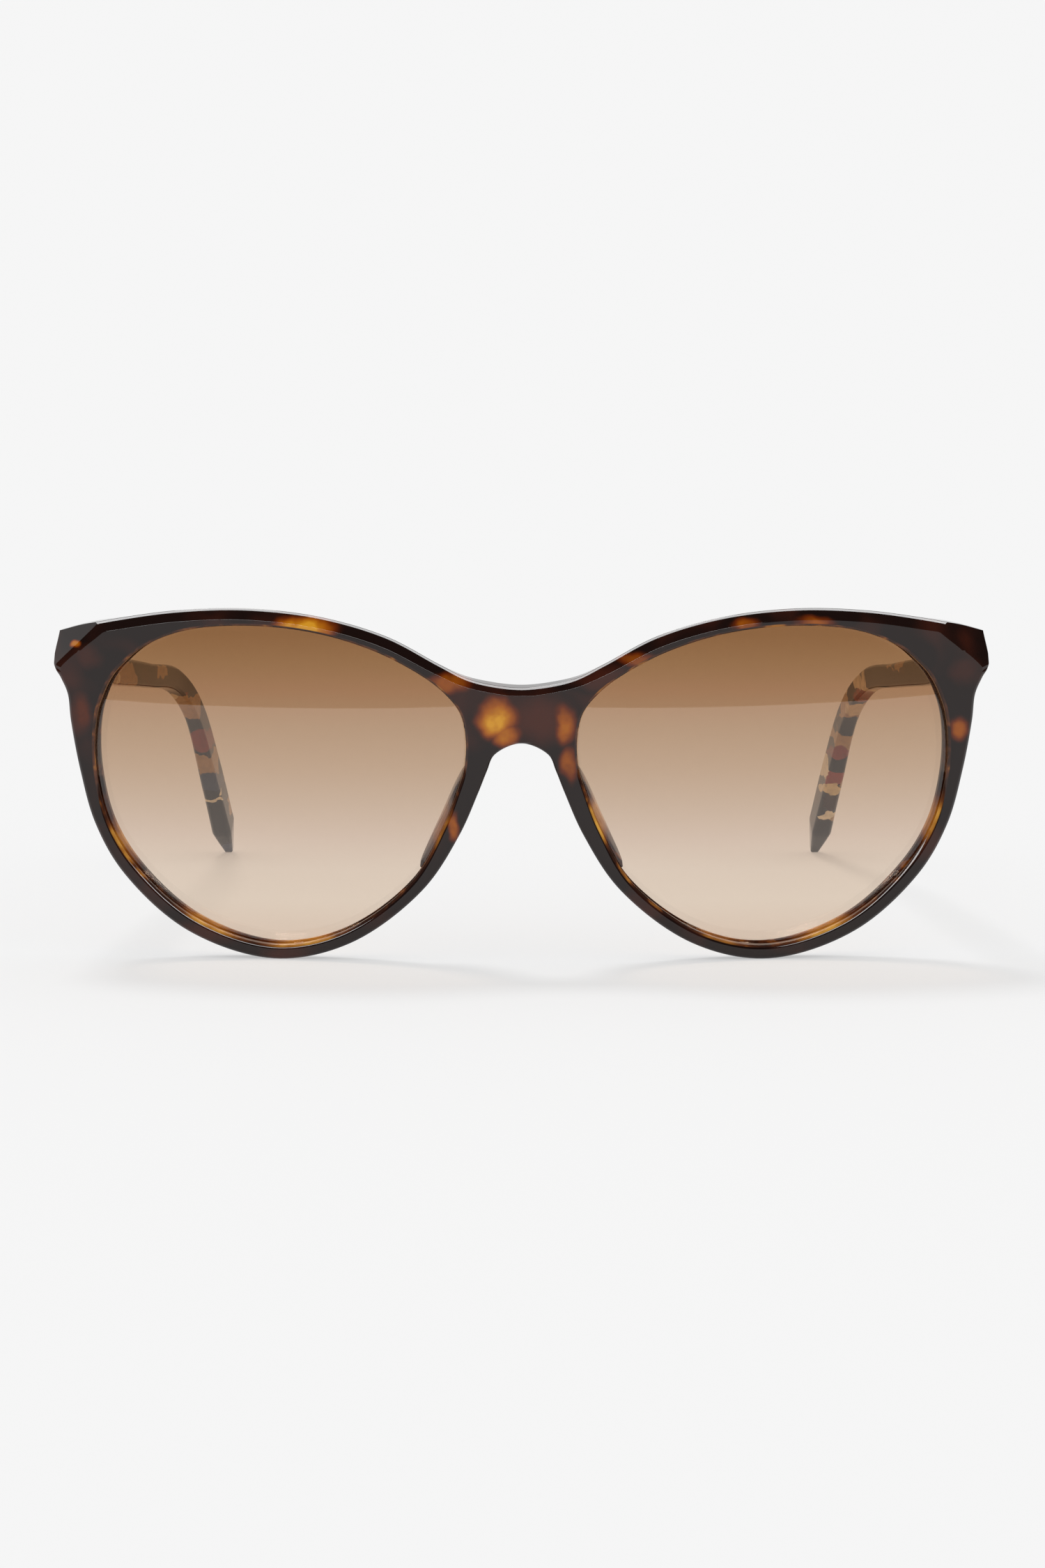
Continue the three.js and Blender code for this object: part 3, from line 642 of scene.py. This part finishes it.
# ---------------------------------------------------------------- node helpers
class Nodes:
    """Short calls for building one material's node tree."""

    def __init__(self, name):
        self.material = bpy.data.materials.new(name)
        self.material.use_nodes = True
        self.tree = self.material.node_tree
        self.tree.nodes.clear()
        self.out = self.add("ShaderNodeOutputMaterial")

    def add(self, kind, **settings):
        node = self.tree.nodes.new(kind)
        for key, value in settings.items():
            setattr(node, key, value)
        return node

    def link(self, source, target):
        self.tree.links.new(source, target)

    def feed(self, socket, value):
        if isinstance(value, bpy.types.NodeSocket):
            self.link(value, socket)
        elif value is not None:
            socket.default_value = value

    def math(self, operation, a, b=None, clamp=False):
        node = self.add("ShaderNodeMath", operation=operation, use_clamp=clamp)
        self.feed(node.inputs[0], a)
        self.feed(node.inputs[1], b)
        return node.outputs[0]

    def vector(self, operation, a, b=None, scale=None):
        node = self.add("ShaderNodeVectorMath", operation=operation)
        self.feed(node.inputs[0], a)
        self.feed(node.inputs[1], b)
        if scale is not None:
            self.feed(node.inputs["Scale"], scale)
        return node.outputs["Value"] if operation == "LENGTH" else node.outputs[0]

    def millimetres(self):
        """Position on the piece in millimetres, in the row frame at rest."""
        return self.vector("SCALE", self.add("ShaderNodeTexCoord").outputs["Object"], scale=1 / MM)

    def noise(self, vector, scale, detail=2.0, roughness=0.5):
        node = self.add("ShaderNodeTexNoise")
        self.feed(node.inputs["Vector"], vector)
        node.inputs["Scale"].default_value = scale
        node.inputs["Detail"].default_value = detail
        node.inputs["Roughness"].default_value = roughness
        return node

    def remap(self, value, low, high, to_low=0.0, to_high=1.0, smooth=True):
        node = self.add("ShaderNodeMapRange", clamp=True)
        node.interpolation_type = "SMOOTHSTEP" if smooth else "LINEAR"
        for key, number in (("From Min", low), ("From Max", high), ("To Min", to_low), ("To Max", to_high)):
            node.inputs[key].default_value = number
        self.feed(node.inputs["Value"], value)
        return node.outputs["Result"]

    def ramp(self, value, stops, constant=False):
        node = self.add("ShaderNodeValToRGB")
        node.color_ramp.interpolation = "CONSTANT" if constant else "LINEAR"
        elements = node.color_ramp.elements
        while len(elements) < len(stops):
            elements.new(1.0)
        for element, (position, colour) in zip(elements, stops):
            element.position = position
            element.color = (*colour, 1.0)
        self.feed(node.inputs[0], value)
        return node.outputs["Color"]

    def blend(self, factor, a, b):
        node = self.add("ShaderNodeMix", data_type="RGBA")
        self.feed(node.inputs[0], factor)
        self.feed(node.inputs[6], a if isinstance(a, bpy.types.NodeSocket) else (*a, 1.0))
        self.feed(node.inputs[7], b if isinstance(b, bpy.types.NodeSocket) else (*b, 1.0))
        return node.outputs[2]

    def bump(self, height, strength, distance):
        node = self.add("ShaderNodeBump")
        node.inputs["Strength"].default_value = strength
        node.inputs["Distance"].default_value = distance
        self.feed(node.inputs["Height"], height)
        return node.outputs["Normal"]

    def principled(self, **sockets):
        node = self.add("ShaderNodeBsdfPrincipled")
        for key, value in sockets.items():
            self.feed(node.inputs[key.replace("_", " ")], value)
        self.link(node.outputs[0], self.out.inputs["Surface"])
        return node

    def spots(self, position, places):
        """Soft spots at places (x, z, half width, half height, strength), joined where they meet."""
        total = None
        for x, z, half_x, half_z, strength in places:
            gap = self.vector("SUBTRACT", position, (x, 0, z))
            scaled = self.vector("MULTIPLY", gap, (1 / half_x, 0, 1 / half_z))
            spot = self.remap(self.vector("LENGTH", scaled), 1.0, 0.2, 0.0, strength)
            total = spot if total is None else self.math("MAXIMUM", total, spot)
        return total


# ---------------------------------------------------------------- materials
# Each cloud below is the x and z of its middle, half its width, half its height, and its strength.
# Amber clouds of the front
AMBER = [
    (-4.0, 37.4, 4.4, 4.2, 0.95),
    (-2.6, 34.8, 3.2, 3.2, 0.75),
    (6.6, 36.4, 2.4, 4.4, 0.62),
    (7.3, 30.1, 2.0, 4.4, 0.5),
    (-10.7, 43.0, 5.6, 2.4, 0.48),
    (-33.4, 51.0, 7.5, 2.4, 1.0),
    (34.0, 51.4, 3.2, 1.5, 0.5),
    (44.3, 51.8, 4.2, 1.6, 0.55),
    (17.5, 46.2, 4.4, 1.8, 0.5),
    (67.2, 35.4, 2.6, 3.0, 0.52),
    (-67.0, 38.0, 1.6, 4.0, 0.22),
    (-10.5, 20.8, 1.6, 3.2, 0.6),
    (-68.1, 48.0, 1.2, 1.0, 0.72),
]
# Clouds of a dark red-brown
RUSSET = [
    (-67.4, 37.5, 2.4, 5.0, 0.8),
    (-66.5, 46.0, 3.4, 2.4, 0.6),
    (67.5, 44.5, 3.6, 3.4, 0.5),
    (2.4, 37.5, 7.5, 5.5, 0.9),
    (12.5, 43.5, 6.5, 2.6, 0.7),
    (62.0, 18.0, 4.0, 4.0, 0.5),
    (-49.0, 4.0, 7.0, 3.0, 0.6),
]
# Amber in the walls of the lens openings, which also sets where their painted glow is strongest
WALL_AMBER = [
    (-60.5, 19.0, 4.6, 7.0, 0.95),
    (-46.5, 6.5, 9.0, 6.0, 0.9),
    (-33.0, 2.5, 10.0, 3.6, 0.85),
    (-12.5, 20.5, 4.0, 7.0, 0.6),
    (63.5, 20.5, 4.0, 6.0, 0.85),
    (46.0, 5.0, 9.0, 5.0, 0.85),
    (11.6, 21.5, 3.4, 6.0, 1.0),
    (30.0, 3.0, 8.0, 3.0, 0.6),
]
DARK_BROWN = (0.011, 0.005, 0.004)
RED_BROWN = (0.065, 0.014, 0.007)
# Colour of the face by the strength of its amber, and of the walls by their amber, made warmer and brighter
# as painted light coming through
FACE_TONES = [
    (0.0, (0.03, 0.006, 0.003)),
    (0.3, (0.12, 0.02, 0.003)),
    (0.6, (0.34, 0.085, 0.004)),
    (0.85, (0.5, 0.18, 0.008)),
    (1.0, (0.66, 0.3, 0.02)),
]
WALL_TONES = [
    (0.0, (0.022, 0.009, 0.006)),
    (0.35, (0.085, 0.026, 0.009)),
    (0.65, (0.26, 0.10, 0.016)),
    (1.0, (0.5, 0.26, 0.045)),
]
WALL_GLOW = 0.35  # the share of its colour that a wall gives off as a painted glow, in place of light coming through
FACE_WARP, CHIP_WARP = 3.2, 2.2  # how far noise pushes the clouds and chips about, in millimetres


def havana():
    """Cloudy dark brown and amber acetate, polished. The lens walls get warmer colours and a painted glow
    that stands in for light coming through.
    """
    n = Nodes("havana_acetate")
    at = n.millimetres()
    warp = n.noise(at, 0.2, 2.0, 0.5)
    moved = n.vector("SUBTRACT", warp.outputs["Color"], (0.5, 0.5, 0.5))
    position = n.vector("ADD", at, n.vector("SCALE", moved, scale=FACE_WARP))
    mottle = n.remap(n.noise(at, 0.4, 2.0, 0.5).outputs["Fac"], 0.3, 0.7, 0.82, 1.1)
    amber = n.math("MULTIPLY", n.spots(position, AMBER), mottle, clamp=True)
    clouds = n.remap(n.noise(position, 0.09, 2.0, 0.5).outputs["Fac"], 0.52, 0.8, 0.0, 0.7)
    russet = n.math("MAXIMUM", n.spots(position, RUSSET), clouds)
    ground = n.blend(russet, DARK_BROWN, RED_BROWN)
    face = n.blend(n.remap(amber, 0.0, 0.3), ground, n.ramp(amber, FACE_TONES))
    streaks = n.noise(n.vector("MULTIPLY", position, (1.0, 2.5, 1.0)), 0.3, 2.0, 0.5).outputs["Fac"]
    # Amber spots and streaks of the walls, which set both their colour and their painted glow
    amber_and_glow = n.math("MAXIMUM", n.spots(position, WALL_AMBER), n.remap(streaks, 0.45, 0.75, 0.0, 0.6))
    wall = n.ramp(n.math("MULTIPLY", amber_and_glow, mottle, clamp=True), WALL_TONES)
    walls = n.add("ShaderNodeAttribute", attribute_name="lens_wall_glow").outputs["Fac"]
    glowing = n.math("MULTIPLY", walls, WALL_GLOW)
    smear = n.noise(n.vector("MULTIPLY", at, (1.0, 1.0, 3.0)), 0.9, 2.0, 0.5).outputs["Fac"]
    # The emission is a painted glow on the walls and pads, standing in for light that comes through; it is
    # no lamp
    n.principled(
        Base_Color=n.blend(walls, face, wall), Roughness=n.remap(smear, 0.3, 0.7, 0.045, 0.085),
        IOR=1.44, Normal=n.bump(smear, 0.03, 0.00002), Emission_Color=wall, Emission_Strength=glowing,
    )
    return n.material


# Places on the temples that are mostly chips of one colour
TEMPLE_DARK = [
    (-62.0, 36.0, 6.0, 3.4, 1.0),
    (-57.4, 4.5, 6.0, 6.0, 1.0),
    (63.0, 38.0, 4.0, 4.0, 0.8),
    (60.0, 27.0, 4.0, 3.5, 0.9),
    (57.4, 3.0, 6.0, 6.5, 1.0),
]
TEMPLE_RED = [
    (-59.2, 24.0, 4.0, 3.5, 0.9),
    (61.5, 33.5, 2.6, 2.0, 1.0),
    (58.8, 21.5, 3.0, 2.2, 0.9),
]
TEMPLE_CREAM = [
    (60.8, 30.5, 3.0, 1.8, 1.0),
    (58.0, 14.0, 3.0, 1.8, 1.0),
]
TEMPLE_SLATE = [
    (-58.3, 15.5, 4.0, 3.0, 0.9),
    (-56.6, 1.0, 3.0, 2.2, 0.9),
]
# Colours of the chips: the share of a cell's random number at which each starts
CHIPS = [
    (0.0, (0.008, 0.006, 0.006)),
    (0.36, (0.035, 0.014, 0.008)),
    (0.5, (0.45, 0.28, 0.13)),
    (0.66, (0.74, 0.62, 0.42)),
    (0.76, (0.02, 0.03, 0.045)),
    (0.84, (0.28, 0.035, 0.012)),
    (0.92, (0.40, 0.24, 0.11)),
]
# Places of one colour, later ones over earlier ones
CHIP_PLACES = (
    (TEMPLE_DARK, (0.009, 0.007, 0.007)),
    (TEMPLE_RED, (0.24, 0.03, 0.012)),
    (TEMPLE_CREAM, (0.66, 0.5, 0.26)),
    (TEMPLE_SLATE, (0.035, 0.045, 0.085)),
)
CHIP_SHADE = (0.03, 0.018, 0.012)


def mosaic():
    """Acetate pressed from chips of dark brown, cream, tan, red and slate blue."""
    n = Nodes("mosaic_acetate")
    at = n.millimetres()
    warp = n.noise(at, 0.35, 2.0, 0.5)
    moved = n.vector("SUBTRACT", warp.outputs["Color"], (0.5, 0.5, 0.5))
    position = n.vector("ADD", at, n.vector("SCALE", moved, scale=CHIP_WARP))
    cells = n.add("ShaderNodeTexVoronoi", distance="CHEBYCHEV", feature="F1")
    n.link(n.vector("MULTIPLY", position, (1.0, 0.5, 1.0)), cells.inputs["Vector"])
    cells.inputs["Scale"].default_value = 0.24
    pick = n.add("ShaderNodeSeparateColor")
    n.link(cells.outputs["Color"], pick.inputs[0])
    colour = n.ramp(pick.outputs[0], CHIPS, constant=True)
    for places, tone in CHIP_PLACES:
        colour = n.blend(n.remap(n.spots(position, places), 0.35, 0.5), colour, tone)
    cloud = n.remap(n.noise(at, 0.9, 3.0, 0.6).outputs["Fac"], 0.35, 0.75, 0.0, 0.3)
    colour = n.blend(cloud, colour, CHIP_SHADE)
    smear = n.noise(at, 1.2, 2.0, 0.5).outputs["Fac"]
    n.principled(
        Base_Color=colour, Roughness=n.remap(smear, 0.3, 0.7, 0.07, 0.13), IOR=1.38,
        Normal=n.bump(smear, 0.04, 0.00002),
    )
    return n.material


LENS_INDEX = 1.75  # the lenses are coated, so they reflect more than plain plastic
# How much of each colour passes through a lens, by height in millimetres
TINT = [
    (4.0, (0.81, 0.65, 0.52)),
    (9.0, (0.83, 0.69, 0.56)),
    (14.0, (0.80, 0.655, 0.53)),
    (19.0, (0.71, 0.55, 0.435)),
    (24.0, (0.63, 0.465, 0.34)),
    (29.5, (0.56, 0.385, 0.255)),
    (36.0, (0.49, 0.31, 0.183)),
    (41.5, (0.445, 0.242, 0.128)),
    (45.5, (0.385, 0.206, 0.096)),
    (50.0, (0.33, 0.163, 0.069)),
]


def lens_tint():
    """Brown tint, dark at the top and pale at the bottom. A ray crosses two surfaces, so each takes half."""
    n = Nodes("lens_tint")
    height = n.add("ShaderNodeSeparateXYZ")
    n.link(n.millimetres(), height.inputs[0])
    low, high = TINT[0][0], TINT[-1][0]
    share = n.remap(height.outputs["Z"], low, high, smooth=False)
    stops = [((z - low) / (high - low), tuple(math.sqrt(c) for c in colour)) for z, colour in TINT]
    through = n.add("ShaderNodeBsdfTransparent")
    n.link(n.ramp(share, stops), through.inputs["Color"])
    gloss = n.add("ShaderNodeBsdfAnisotropic")
    film = n.noise(n.millimetres(), 0.08, 3.0, 0.5).outputs["Fac"]
    n.link(n.remap(film, 0.3, 0.7, 0.0, 0.02), gloss.inputs["Roughness"])
    # The rays go straight on, so the inner side of a surface reflects like its outer side.
    within = n.add("ShaderNodeNewGeometry").outputs["Backfacing"]
    way = n.math("SUBTRACT", 1.0, n.math("MULTIPLY", within, 2.0))
    mirror_share = n.add("ShaderNodeFresnel")
    n.link(n.math("POWER", LENS_INDEX, way), mirror_share.inputs["IOR"])
    both = n.add("ShaderNodeMixShader")
    n.link(mirror_share.outputs[0], both.inputs[0])
    n.link(through.outputs[0], both.inputs[1])
    n.link(gloss.outputs[0], both.inputs[2])
    n.link(both.outputs[0], n.out.inputs["Surface"])
    return n.material


def metal(name, base, worn, roughness):
    """Plated metal with fine brushing and a paler tone where it is worn."""
    n = Nodes(name)
    at = n.millimetres()
    brushed = n.noise(n.vector("MULTIPLY", at, (14.0, 14.0, 1.5)), 1.0, 3.0, 0.6).outputs["Fac"]
    patches = n.remap(n.noise(at, 0.6, 3.0, 0.6).outputs["Fac"], 0.4, 0.7)
    n.principled(
        Base_Color=n.blend(patches, base, worn), Metallic=1.0,
        Roughness=n.remap(brushed, 0.3, 0.7, roughness - 0.07, roughness + 0.1),
        Normal=n.bump(brushed, 0.1, 0.00003),
    )
    return n.material


HAVANA = havana()
MOSAIC = mosaic()
TINTED = lens_tint()
GILT = metal("gilt_hinge", (0.72, 0.52, 0.25), (0.82, 0.66, 0.4), 0.28)
STEEL = metal("screw_steel", (0.52, 0.52, 0.54), (0.68, 0.68, 0.7), 0.26)


def dress(obj, material):
    obj.data.materials.clear()
    obj.data.materials.append(material)
    return obj


def mark_lens_walls(obj):
    """Stores 1 at each point of the front that belongs to the wall or the groove of a lens opening, where
    the walls' colour and painted glow go.
    """
    edge = np.array([inner_edge(i * len(RIBS) / WALL_STEPS) for i in range(WALL_STEPS)])
    cos, sin = math.cos(FRONT_TILT), math.sin(FRONT_TILT)
    values = []
    for vert in obj.data.vertices:
        x, y, z = (vert.co - OFFSET) / MM
        p = np.array([abs(x), z * cos - y * sin])
        depth = y * cos + z * sin - wrap(p[0])
        gaps = edge - p
        nearest = int((gaps**2).sum(1).argmin())
        outward = np.subtract(edge[(nearest + 1) % WALL_STEPS], edge[nearest - 1])
        outward = np.array([-outward[1], outward[0]]) / np.linalg.norm(outward)
        beyond = -gaps[nearest] @ outward
        inside = beyond < -WALL_INSIDE
        behind = depth > WALL_BEHIND and abs(beyond) < WALL_NEAR
        values.append(1.0 if inside or behind else 0.0)
    attribute = obj.data.attributes.new("lens_wall_glow", "FLOAT", "POINT")
    attribute.data.foreach_set("value", values)


def mark_all(obj):
    """Marks a slender piece all over for the walls' colour and painted glow, which stand in for light coming
    through it.
    """
    attribute = obj.data.attributes.new("lens_wall_glow", "FLOAT", "POINT")
    attribute.data.foreach_set("value", [1.0] * len(obj.data.vertices))
    return obj


# ---------------------------------------------------------------- pieces
front_piece = front()
mark_lens_walls(front_piece)
dress(front_piece, HAVANA)
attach(front_piece, "front")
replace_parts(front_piece, "front_frame")

for side, end in ((1, "left"), (-1, "right")):
    glass = dress(lens(f"tinted_lens_{end}", side), TINTED)
    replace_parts(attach(glass, "front"), f"lens_{end}")
    # The pads are marked all over, so they take the walls' colour and painted glow
    pad = dress(mark_all(nose_pad(f"acetate_pad_{end}", side)), HAVANA)
    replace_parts(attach(pad, "front"), f"nose_pad_{end}")
    arm = dress(temple(f"acetate_temple_{end}", side), MOSAIC)
    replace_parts(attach(arm, f"temple_{end}"), f"temple_{end}")

for name, node in frame["nodes"].items():
    if "hinge_leaf" in name:
        dress(node, GILT)
    elif "screw" in name or "wire" in name:
        dress(node, STEEL)


# ---------------------------------------------------------------- stage, light and camera
WHITE = 0.92  # brightness of the backdrop and of the open floor
FLOOR_REACH = 30.0
FLOOR_ALBEDO = 0.38
FLOOR_GLOW = 0.5  # the share of the floor's brightness that no shadow takes away
CAMERA_SPOT = (0.00016, -0.563, 0.0795)
CAMERA_TURN = math.radians(84.0)
CAMERA_LENS, CAMERA_SENSOR = 75.66, 36.0
CAMERA_CLIP = (0.01, 50.0)
TABLE_EDGE = -0.62  # the table ends here, in front of the lenses, and the room beyond it is dark
TABLE_SKEW = -0.12  # the slope of that edge, which isn't quite parallel to the front
ROOM_ARC = (-92.5, 126)  # the dark walls, in degrees either side of straight ahead of the lenses
ROOM_STEPS = 40
ROOM_FAR = 1.6  # the walls are never further away than this
WALL_TOP, CEILING_TOP, CEILING_CLOSE = 1.5, 2.2, 0.55
KEY_FROM = Vector((-0.25, 0.75, 1.35))  # the window that lights the table, behind the sunglasses
KEY_ANGLE = math.radians(14)


def rectangle(half_x, half_y):
    return [(-half_x, -half_y, 0), (half_x, -half_y, 0), (half_x, half_y, 0), (-half_x, half_y, 0)]


def flat_plane(name, corners, material):
    bm = bmesh.new()
    bm.faces.new([bm.verts.new(c) for c in corners])
    obj = to_object(name, bm)
    obj.data.materials.append(material)
    return obj


def plain(name, albedo, glow=0.0):
    n = Nodes(name)
    diffuse = n.add("ShaderNodeBsdfDiffuse")
    diffuse.inputs["Color"].default_value = (albedo, albedo, albedo, 1)
    emission = n.add("ShaderNodeEmission")
    emission.inputs["Strength"].default_value = glow
    both = n.add("ShaderNodeAddShader")
    n.link(diffuse.outputs[0], both.inputs[0])
    n.link(emission.outputs[0], both.inputs[1])
    n.link(both.outputs[0], n.out.inputs["Surface"])
    return n.material


def only_reflected(obj):
    """Leaves a piece of the stage to be seen in reflections alone."""
    obj.visible_camera = False
    obj.visible_diffuse = False
    obj.visible_shadow = False
    obj.visible_transmission = False


def dark_room():
    """Walls of the dark room round the table, open behind the sunglasses."""
    rows = []
    for k in range(ROOM_STEPS + 1):
        turn = math.radians(mix(*ROOM_ARC, k / ROOM_STEPS))
        facing = max(math.cos(turn) + TABLE_SKEW * math.sin(turn), 0.01)
        away = min(-TABLE_EDGE / facing, ROOM_FAR)
        x, y = away * math.sin(turn), -away * math.cos(turn)
        rows.append([(x, y, 0.0), (x, y, WALL_TOP), (CEILING_CLOSE * x, CEILING_CLOSE * y, CEILING_TOP)])
    bm = bmesh.new()
    verts = [[bm.verts.new(p) for p in row] for row in rows]
    for a, b in zip(verts, verts[1:]):
        for k in range(2):
            bm.faces.new((a[k], b[k], b[k + 1], a[k + 1]))
    obj = to_object("dark_room", bm)
    obj.data.materials.append(plain("dark_room", 0.01))
    only_reflected(obj)


def sky():
    world = bpy.data.worlds.new("studio")
    bpy.context.scene.world = world
    world.use_nodes = True
    background = world.node_tree.nodes["Background"]
    background.inputs[0].default_value = (1, 1, 1, 1)
    background.inputs[1].default_value = WHITE


def window_light():
    """The window adds what the sky lacks for the floor to be as bright as the backdrop."""
    window = bpy.data.lights.new("window", "SUN")
    window.angle = KEY_ANGLE
    slant = KEY_FROM.normalized().z
    window.energy = (WHITE * (1 - FLOOR_GLOW) / FLOOR_ALBEDO - WHITE) * math.pi / slant
    lamp = bpy.data.objects.new("window", window)
    lamp.location = KEY_FROM
    lamp.rotation_euler = (-KEY_FROM).to_track_quat("-Z", "Y").to_euler()
    bpy.context.scene.collection.objects.link(lamp)


def glossy_card(name, centre, size, brightness):
    """A bright panel that only reflections see, for the white lines along the polished edges."""
    centre = Vector(centre)
    turn = (-centre).to_track_quat("Z", "Y")
    corners = [centre + turn @ Vector(c) for c in rectangle(size[0] / 2, size[1] / 2)]
    only_reflected(flat_plane(name, corners, plain(name, 0.0, brightness)))


def add_camera():
    data = bpy.data.cameras.new("camera")
    data.lens = CAMERA_LENS
    data.sensor_width = CAMERA_SENSOR
    data.clip_start, data.clip_end = CAMERA_CLIP
    camera = bpy.data.objects.new("camera", data)
    camera.location = CAMERA_SPOT
    camera.rotation_euler = (CAMERA_TURN, 0, 0)
    bpy.context.scene.collection.objects.link(camera)
    bpy.context.scene.camera = camera


pale_floor = plain("pale_floor", FLOOR_ALBEDO, WHITE * FLOOR_GLOW)
flat_plane("floor", rectangle(FLOOR_REACH, FLOOR_REACH), pale_floor)
dark_room()
sky()
window_light()
glossy_card("top_window", (0.0, 0.0, 1.1), (2.2, 0.45), 13.0)
glossy_card("front_strip", (-0.1, -0.45, 0.24), (0.5, 0.07), 14.0)
add_camera()
bpy.context.scene.view_settings.view_transform = "Standard"
